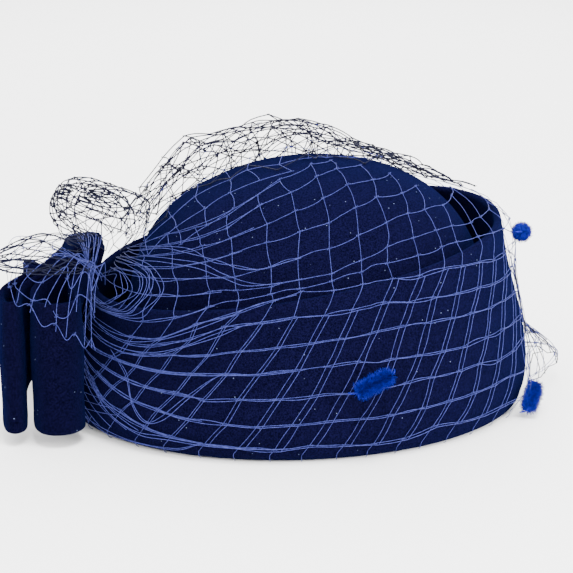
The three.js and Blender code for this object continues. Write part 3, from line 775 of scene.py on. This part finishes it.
def crossLine(edgeTheta):
    # a cross strand from the lower edge, up the cuff and over the crown to the billow's ridge
    levels = np.linspace(2, 1, 60)
    theta = edgeTheta - veilShape["lean"] * (levels - 1)
    start, _ = onDrape(edgeTheta, 1.0, 0.0, 0.0, False)
    mirrored = edgeTheta > 360
    ridge = veilShape["billowOffset"] - 4
    x = start[0]
    targetX = x if x < 50 else 50 + 22 * np.tanh((x - 50) / 40)
    share = np.linspace(0, 1, 120)[1:]
    planX = x + (targetX - x) * share
    planY = start[1] + (ridge - start[1]) * share
    turn, found = planToChart(planX, planY)
    if mirrored:
        turn = np.where(turn < 180, turn + 360, turn)
    return np.concatenate([theta, turn]), np.concatenate([levels, found])


def netLayer(threads, edgeThetas, rowNumbers, lift, seed, doubled):
    # nodes are where a cross strand meets a row, and strands run between them along both
    noise = np.random.default_rng(seed)
    crooked = np.random.default_rng(3).normal(size=(len(edgeThetas), len(netRows), 2)) * veilShape["uneven"]
    nodes = {}
    crossings = []
    for i, edge in enumerate(edgeThetas):
        theta, level = crossLine(edge)
        theta = theta + doubled * (veilShape["slip"] + veilShape["slipChange"] * np.sin(edge / 14))
        met = []
        for number in rowNumbers:
            full = np.where(theta < 180, theta + 360, theta)
            gap = level - doubled * veilShape["levelSlip"] - rowLevel(number, full)
            hit = np.nonzero((gap[:-1] > 0) & (gap[1:] <= 0))[0]
            if len(hit) == 0:
                continue
            k = hit[0]
            share = gap[k] / (gap[k] - gap[k + 1])
            if abs(full[k + 1] - full[k]) > 90:
                continue
            nodeTheta = full[k] + (full[k + 1] - full[k]) * share
            nodeLevel = level[k] + (level[k + 1] - level[k]) * share
            if doubled and nodeLevel <= 1:
                continue
            size = max(nodeLevel, 0.25) * 95
            nodeTheta += np.degrees(crooked[i, number, 0] / size)
            nodeLevel += crooked[i, number, 1] / 100
            nodes[i, number] = (nodeTheta, nodeLevel)
            met.append((nodeLevel, number))
        crossings.append([number for _, number in sorted(met, reverse=True)])

    def strand(a, b, bend):
        share = np.linspace(0, 1, 6)
        ta, la = a
        tb, lb = b
        theta = ta + (tb - ta) * share
        level = la + (lb - la) * share
        sag = np.sin(pi * share)
        return onDrape(theta, level + bend * sag / 100, lift + 0.35 * np.abs(sag - 0.5))[0]

    radius = veilShape["strand"]
    for i, met in enumerate(crossings):
        for low, high in zip(met[:-1], met[1:]):
            if abs(low - high) > 2:
                continue
            threads.add(strand(nodes[i, low], nodes[i, high], noise.normal() * 0.6), radius)
    for number in rowNumbers:
        on = sorted((nodes[key][0], key) for key in nodes if key[1] == number)
        for (ta, a), (tb, b) in zip(on[:-1], on[1:]):
            if b[0] - a[0] != 1:
                continue
            threads.add(strand(nodes[a], nodes[b], noise.normal() * 0.5), radius)
    if not doubled:
        for (i, number), (theta, level) in nodes.items():
            place, normal = onDrape(theta, level, lift + 0.15)
            onwardLevel = rowLevel(number, theta + 0.7) + level - rowLevel(number, theta)
            onward, _ = onDrape(theta + 0.7, onwardLevel, lift + 0.15)
            threads.coil(place, onward - place, normal, veilShape["knot"], veilShape["wrapLength"],
                         veilShape["wrapTurns"], radius * veilShape["wrapThread"])
        # below the lowest row the strands run on and in under the rim
        for (i, number), (theta, level) in nodes.items():
            if number == 0 and abs(theta - 360) > 22:
                below = theta - veilShape["lean"] * (2 - level)
                high, low = onDrape(theta, level, lift)[0], onDrape(below, 2.0, lift)[0]
                inward = -np.array([np.cos(np.radians(below)), np.sin(np.radians(below)), 0])
                tuck = [low + inward * 0.9 + (0, 0, -2.6), low + inward * 2.2 + (0, 0, -3.6)]
                threads.add(throughRows([high, (high + low) / 2, low, *tuck], 3), radius)


def edgeDirections(first, last, cell):
    # directions round the cuff's edge that are one cell apart
    theta = np.linspace(first, last, 2000)
    way = wayAlong(onDrape(theta, np.ones_like(theta), 0.0, 0.0, False)[0])
    return np.interp(np.arange(0, way[-1], cell), way, theta)


def joinPlaces(threads, places, noise, sway, rise, radius):
    # a strand from each place to the next one along both ways of a lattice
    for (i, j), spot in places.items():
        for other in ((i + 1, j), (i, j + 1)):
            if other in places:
                share = np.linspace(0, 1, 5)[:, None]
                sag = np.sin(pi * share) * np.array([noise.normal() * sway, noise.normal() * sway, rise])
                threads.add(spot + (places[other] - spot) * share + sag, radius)


# the net's loose folds inside the billow: cells, and the part of the crown in plan that each covers
looseFolds = [
    {"angle": 24, "billow": 0.95, "seed": 21, "cell": 12.5, "lift": 2.0, "box": ((-70, 90), (2, 62))},
    {"angle": -31, "billow": 0.6, "seed": 22, "cell": 12.5, "lift": 0.7, "box": ((-72, 84), (-10, 60))},
    {"angle": 8, "billow": 1.0, "seed": 23, "cell": 12.5, "lift": 0.6, "box": ((-66, 84), (12, 58))},
    {"angle": 52, "billow": 0.85, "seed": 24, "cell": 11.5, "lift": 1.5, "box": ((-76, 60), (14, 60))},
    {"angle": -12, "billow": 0.95, "seed": 25, "cell": 11.5, "lift": 2.5, "box": ((-78, 20), (16, 58))},
]


# in millimetres: how far a fold's cells sway and scatter, its waves, and how deep they may go
looseShape = {"reach": 170, "sway": 3, "scatter": 1.3, "wave": 2.2, "lowest": -0.8, "edgeLevel": 0.97}


def looseLayer(threads, angle, billow, seed, cell, lift, box):
    # a fold of the net: a lattice in plan, turned by angle
    noise = np.random.default_rng(seed)
    turn = np.radians(angle)
    c, s = np.cos(turn), np.sin(turn)
    (x0, x1), (y0, y1) = box
    places = {}
    shape = looseShape
    reach = int(shape["reach"] / cell)
    for i in range(-reach, reach + 1):
        for j in range(-reach, reach + 1):
            u = i * cell + shape["sway"] * np.sin(j * 0.9 + seed)
            v = j * cell + shape["sway"] * np.sin(i * 0.7 + seed)
            x = c * u - s * v + (x0 + x1) / 2 + noise.normal() * shape["scatter"]
            y = s * u + c * v + (y0 + y1) / 2 + noise.normal() * shape["scatter"]
            if x0 < x < x1 and y0 < y < y1:
                theta, level = planToChart(x, y)
                if level < shape["edgeLevel"]:
                    wave = shape["wave"] * np.sin(x / 7 + seed) * np.sin(y / 6 + 1)
                    places[i, j] = onDrape(theta, level, lift + max(wave, shape["lowest"]), billow)[0]
    joinPlaces(threads, places, noise, 0.7, 0.5, veilShape["looseStrand"])
    for spot in places.values():
        threads.coil(spot, np.array([c, s, 0.1]), np.array([0, 0, 1.0]), veilShape["looseStrand"] * 1.5, 1.5,
                     2, veilShape["looseStrand"] * 0.7)


# cells on the crown: their count and size both ways, and the corner in plan where they begin
patchShape = {"columns": 16, "rows": 12, "along": 12.3, "across": 11.8, "startX": -84, "startY": -70,
              "scatter": 0.9, "lastY": 16, "lift": 0.5}


def crownPatch(threads, seed):
    # above the rows the net lies on the crown in cells of its own, up to the billow
    noise = np.random.default_rng(seed)
    places = {}
    shape = patchShape
    for i in range(shape["columns"]):
        for j in range(shape["rows"]):
            x = shape["startX"] + shape["along"] * i + 0.35 * j + noise.normal() * shape["scatter"]
            y = shape["startY"] + shape["across"] * j + 1.2 * i + noise.normal() * shape["scatter"]
            theta, level = planToChart(x, y)
            low = rowLevel(13, max(theta, 182)) if 150 < theta < 345 else 0.3
            low = low + 0.26 * smooth((232 - theta) / 14)
            if y < shape["lastY"] and level < min(low - 0.04, 0.8):
                places[i, j] = onDrape(theta, level, shape["lift"])[0]
    joinPlaces(threads, places, noise, 0.5, 0.4, veilShape["strand"])
    for spot in places.values():
        threads.coil(spot, np.array([1.0, 0.2, 0.1]), np.array([0, -0.5, 1.0]), veilShape["strand"] * 1.6,
                     2, 2.5, veilShape["strand"] * veilShape["wrapThread"])


# the net's puffs, from the gather to their ends: the upper, the lower, and one inside the upper
puffShapes = [
    {"seed": 40, "axis": (-7.8, 48, 18), "arch": 7.2, "wide": 22.2, "high": 10.2, "meridians": 13,
     "rings": 9, "twist": 0.5, "first": 0.14},
    {"seed": 41, "axis": (-52.2, -24, 9), "arch": 0, "wide": 13.2, "high": 7.8, "meridians": 9, "rings": 7,
     "twist": 0.4, "first": 0.2},
    {"seed": 47, "axis": (-7.8, 48, 18), "arch": 7.2, "wide": 17, "high": 8, "meridians": 9, "rings": 9,
     "twist": -0.7, "first": 0.14},
]
bunchMiddle = onDrape(196, 1.0, 0.3)[0] + np.array([2, 0, 11.1])
puffRoot = bunchMiddle + np.array([0, 0, 9])


def crumple(points, size, seed):
    # smooth, uneven shifts, so that loose net isn't a plain form
    x, y, z = np.asarray(points).T
    shift = np.stack([np.sin(y / 9 + seed) + np.sin(z / 6 + 2 * seed), np.sin(z / 7 + 3 * seed)
                      + np.sin(x / 10 - seed), np.sin(x / 8 + seed) + np.sin(y / 6.5 - 2 * seed)], 1)
    return points + shift * size / 2


def makePuff(threads, puff):
    # a bag of net in diamond cells
    seed = puff["seed"]
    noise = np.random.default_rng(seed)
    axis = np.array(puff["axis"], float)
    onward = axis / np.linalg.norm(axis)
    level = np.cross(onward, (0, 0, 1))
    level /= np.linalg.norm(level)
    upright = np.cross(level, onward)
    radius = veilShape["looseStrand"]

    def spot(turn, share):
        swell = np.sin(pi * np.clip(share, 0.02, 0.98)) ** 0.6
        dent = 1 + 0.12 * np.sin(3 * turn + seed) * np.sin(pi * share)
        made = (puffRoot + np.outer(share, axis) + np.outer(puff["arch"] * np.sin(pi * share), (0, 0, 1))
                + np.outer(np.cos(turn) * puff["wide"] * swell * dent, level)
                + np.outer(np.sin(turn) * puff["high"] * swell * dent, upright))
        return crumple(made, 2.6, seed)

    count, rings = puff["meridians"], puff["rings"]
    cell = 2 * pi / count
    share = np.linspace(puff["first"], 1.0, rings) + noise.normal(size=(count, rings)) * 0.03
    share[:, 0] = puff["first"]
    stagger = 0.5 * (np.arange(rings) % 2) + noise.normal(size=(count, rings)) * 0.16
    turn = cell * (np.arange(count)[:, None] + stagger) + puff["twist"] * share
    for k in range(count):
        for j in range(rings - 1):
            side = k - 1 if j % 2 == 0 else k + 1
            for to in (k, side) if j or k % 2 else (k,):
                end = turn[to % count, j + 1] + 2 * pi * (to // count)
                step = np.linspace(0, 1, 6)
                threads.add(spot(turn[k, j] + (end - turn[k, j]) * step,
                                 share[k, j] + (share[to % count, j + 1] - share[k, j]) * step),
                            radius * (0.7 if j < 2 else 1))
            if j < 2:
                continue
            here = spot(turn[k, j:j + 1], share[k, j:j + 1])[0]
            out = here - puffRoot - axis * share[k, j] + 0.01
            threads.coil(here, axis, out, radius * 1.6, 1.6, 2, radius * 0.7)


# the net's lower edge where it hangs over the near loops of the bow
bowEdge = [(-136, -28, 80), (-134.5, -44, 73), (-131.7, -51.5, 67), (-121, -58.5, 59), (-111, -60.5, 52.5),
           (-103.5, -60, 48.5), (-98.5, -57.5, 46)]


def coverBow(threads):
    # strands that run from the gather over the loops' tops and hang down in front of them
    noise = np.random.default_rng(31)
    foot = bunchMiddle + np.array([-1, -4, 0])
    ends = throughRows(bowEdge, 2)
    runs = []
    for k, end in enumerate(ends):
        down = k / (len(ends) - 1)
        start = foot + np.array([-7 * (1 - down), 1 - 3 * down, 7 - 9 * down])
        over = start + (end - start) * np.array([0.42, 0.3, 0])
        over[2] = 86.5 - 7 * down
        shoulder = start + (end - start) * np.array([0.86, 0.74, 0])
        shoulder[2] = max(end[2] + 10, 70.5)
        shoulder[1] -= 2
        jog = noise.normal(size=(4, 3)) * [[1.4], [1.2], [0.5], [0.3]]
        runs.append(throughRows(np.array([start, over, shoulder, end]) + jog, 12))
    for k, run in enumerate(runs):
        threads.add(run if k % 3 else run[:30], veilShape["strand"])
    # crooked cells, and the scalloped lower edge
    lowest = len(runs[0]) - 1
    for row in (12, 20, 28, lowest):
        stops = np.clip(row + noise.integers(-3, 4, len(runs)) * (row < lowest), 0, lowest)
        line = np.array([run[stop] for run, stop in zip(runs, stops)])
        if row == lowest:
            line[1::2] += (0, 1.5, 3.2)
            line[0::2] -= (0, 0, 1.2)
        threads.add(throughRows(line, 6), veilShape["strand"])
        for spot in line[1::2]:
            threads.coil(spot, spot - foot, np.array([0, -0.4, 1.0]), veilShape["knot"], 2, 3,
                         veilShape["strand"] * veilShape["wrapThread"])


def coverKnot(threads):
    # strands that come up out of the hollow and fall over the knot and the bow's middle
    noise = np.random.default_rng(37)
    top = bunchMiddle + np.array([-3, 0, 9])
    for lean in np.linspace(0, 1, veilShape["knotStrands"]):
        low = onDrape(186.5 + 3 * lean, 1.22 - 0.24 * lean, 0.6)[0]
        rise = top + np.array([-3 - 4 * lean, -5 + 11 * lean, 1 + 2 * lean]) + noise.normal(size=3)
        high = np.array([-91 - 14 * lean, -9 + 7 * lean, 83.5 + noise.normal() * 0.7])
        away = np.array([-93 - 21 * lean, 12 + 8 * lean, 80.5 - 8 * lean])
        threads.add(throughRows([low, (low + rise) / 2 + (0, -2.5, 0), rise, high, away], 8),
                    veilShape["strand"])


def layStrand(threads, theta, level, lift, radius=veilShape["strand"]):
    threads.add(onDrape(theta, level, lift)[0], radius)


# Strands that turn in the hollow beside the gather, from the smallest to the largest turn, and then
# those that run on from it: directions and levels.
turns = [
    [(183, 0.95), (190, 0.90), (196, 0.92), (200, 0.96), (199, 1.01), (194, 1.02), (189, 1.00)],
    [(180, 0.87), (192, 0.85), (204, 0.86), (211, 0.94), (207, 1.02), (197, 1.04), (188, 1.03)],
    [(179, 0.82), (194, 0.80), (209, 0.82), (218, 0.93), (214, 1.05), (200, 1.08), (188, 1.06)],
]
sweeps = [
    {"row": 6, "way": [(187, 1.10), (196, 1.17), (209, 1.22), (220, 1.20), (230, 1.12), (238, 1.05)]},
    {"row": 5, "way": [(187, 1.18), (197, 1.26), (208, 1.31), (219, 1.31), (230, 1.22), (238, 1.15)]},
    {"row": 3, "way": [(190, 1.32), (200, 1.37), (210, 1.39), (221, 1.42), (231, 1.43), (238, 1.43)]},
    {"row": 0, "way": [(190, 1.40), (202, 1.62), (209, 1.80), (218, 1.90), (226, 1.90), (236, 1.91)]},
    {"row": 0, "way": [(189, 1.46), (195, 1.68), (200, 1.90), (208, 1.98), (217, 1.99), (228, 1.98)]},
    {"row": 3, "way": [(206, 1.34), (213, 1.48), (217, 1.68), (221, 1.80), (226, 1.76), (232, 1.58)]},
    {"row": 8, "way": [(181, 0.80), (194, 0.78), (208, 0.76), (222, 0.77), (234, 0.82), (243, 0.87)]},
    {"row": 9, "way": [(179, 0.78), (190, 0.74), (203, 0.70), (216, 0.70), (228, 0.74), (238, 0.78)]},
]


def between(guides, place):
    k = min(int(place), len(guides) - 2)
    return np.array(guides[k]) + (np.array(guides[k + 1]) - np.array(guides[k])) * (place - k)


def swirl(threads):
    noise = np.random.default_rng(53)
    for k, place in enumerate(np.linspace(0, len(turns) - 1, veilShape["turnStrands"])):
        guide = between(turns, place) + noise.normal(size=(7, 2)) * (1.1, 0.008)
        path = throughRows(guide, 7)
        lift = 0.4 + (1.0 + 1.2 * (k % 3)) * np.sin(np.linspace(0, pi, len(path)))
        layStrand(threads, *path.T, lift)
    for sweep in sweeps:
        last = sweep["way"][-1][0]
        onRow = [(turn, float(rowLevel(sweep["row"], turn))) for turn in (last + 8, last + 16, last + 22)]
        for copy in range(2):
            rough = noise.normal(size=(6, 2)) * (0.5, 0.006)
            way = np.array(sweep["way"]) + (0.6 * copy, 0.018 * copy) + rough
            path = throughRows([*way, *onRow], 7)
            lift = 0.2 + 0.2 * copy + 1.0 * np.sin(np.linspace(0, pi, len(path)))
            layStrand(threads, *path.T, lift)
    # the near end of the net falls from the gather to the rim
    for k in range(veilShape["endStrands"]):
        share = np.linspace(0, 1, 30)
        theta = 193 - 4.5 * np.sin(pi * share) + (4 + 4.5 * k) * share ** 2.2 + noise.normal() * 0.4
        level = 1.04 + (0.95 - 0.02 * k) * share
        layStrand(threads, theta, level, 0.5 + 0.3 * (k % 3))
    # and its strands cross back over them in crooked cells
    for k in range(veilShape["crossStrands"]):
        share = np.linspace(0, 1, 12)
        theta = 190.5 + 2.2 * k * share + 4 * share
        level = 1.3 + 0.075 * k + (0.16 - 0.03 * k) * share
        layStrand(threads, theta, np.minimum(level, 1.98), 0.4)


def startRows(threads):
    # the rows run from the gather to their first crossing
    steps, lastTurn, doubledStarts = 34, 236, 4
    swell = np.sin(np.linspace(0, pi, steps))
    for number, row in enumerate(netRows):
        theta = np.linspace(row["turn"], lastTurn, steps)
        for copy in range(2 if number < doubledStarts else 1):
            level = rowLevel(number, theta) + 0.014 * copy * swell
            lift = 0.1 + 0.5 * copy * swell
            layStrand(threads, theta, level, lift)


def frontTip(threads):
    # the net's loose tip in front, drawn out to a point
    noise = np.random.default_rng(61)
    radius = veilShape["looseStrand"] * 0.85
    turns = np.arange(345, 376, 3.4)
    levels = np.linspace(1.3, 1.98, 12)
    for turn in turns:
        sway = 1.4 * np.sin(levels * 9 + turn)
        layStrand(threads, turn + sway * (1 - np.abs(turn - 360) / 20), levels, 0.3, radius)
    for level in np.linspace(1.42, 1.96, 6):
        theta = np.linspace(343, 377, 16)
        wave = 0.02 * np.sin(theta * 0.9 + level * 20) + noise.normal() * 0.01
        layStrand(threads, theta, np.minimum(level + wave, 1.99), 0.3, radius)


def makeVeil():
    threads = Threads()
    edges = edgeDirections(veilShape["firstEdge"], veilShape["lastEdge"], veilShape["cell"])
    rows = list(range(len(netRows)))
    netLayer(threads, edges, rows, 0.0, 11, doubled=False)
    netLayer(threads, edges, rows[:veilShape["doubledRows"]], veilShape["doubledLift"], 12, doubled=True)
    crownPatch(threads, 13)
    startRows(threads)
    swirl(threads)
    coverBow(threads)
    coverKnot(threads)
    # from here on the strands take the darker copy of the thread, which is painted shade
    threads.slot = 1
    frontTip(threads)
    for fold in looseFolds:
        looseLayer(threads, **fold)
    for puff in puffShapes:
        makePuff(threads, puff)
    return threads


veilPiece = makeVeil().build("netVeil", [netMaterial, netPaintedShadeMaterial], "net")
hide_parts("veil_net")
veilPiece.data.transform(Matrix.Translation(hatPlace / 1000))
print("veil made")


dotShape = {
    "fibres": 3400, "fibre": 0.13, "core": 0.9, "thread": 0.3,
    "spread": 0.22, "shortest": 0.72, "uneven": 0.34, "bend": 0.35,
}
dice = np.random.default_rng(4)


def makeDot(name, node):
    # a short brush of cut pile round a core, along the longest way of its solid
    verts = np.array([v.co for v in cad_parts[node].data.vertices]) * 1000
    middle = verts.mean(0)
    ways = np.linalg.svd(verts - middle)[2]
    axis, across, out = ways
    spread = (verts - middle) @ ways.T
    half = (spread.max(0) - spread.min(0)) / 2
    threads = Threads()
    for _ in range(dotShape["fibres"]):
        share = dice.uniform(-1, 1)
        turn = dice.uniform(0, 2 * pi)
        way = across * np.cos(turn) + out * np.sin(turn) + axis * dice.normal() * dotShape["spread"]
        way /= np.linalg.norm(way)
        reach = half[1] * (dotShape["shortest"] + dotShape["uneven"] * dice.uniform() ** 1.5)
        reach *= 1 - 0.2 * abs(share) ** 6
        start = middle + axis * share * half[0] * 0.93
        bend = dice.normal(size=3) * dotShape["bend"]
        steps = np.array([0.1, 0.6, 1.0])[:, None]
        threads.add(start + way * reach * steps + bend * steps ** 2, dotShape["fibre"], 3, taper=True)
    core = middle + axis * np.linspace(-1, 1, 9)[:, None] * half[0] * 0.95
    threads.add(core, dotShape["core"], 8)
    # its thread goes back to the net at both ends
    inward = middle - hatPlace
    inward[2] = 0
    inward /= -np.linalg.norm(inward)
    for end in (-1, 1):
        tip = middle + axis * end * half[0] * 0.9
        way = [tip, tip + axis * end * 2.2 + inward * 0.8, tip + axis * end * 3.4 + inward * 3.4]
        threads.add(throughRows(way, 5), dotShape["thread"])
    dot = threads.build(name, [chenilleMaterial], "chenille")
    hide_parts(node)


for name, node in (("dotSide", "chenille_dot_side"), ("dotTop", "chenille_dot_top"),
                   ("dotFront", "chenille_dot_front")):
    makeDot(name, node)
print("dots made")
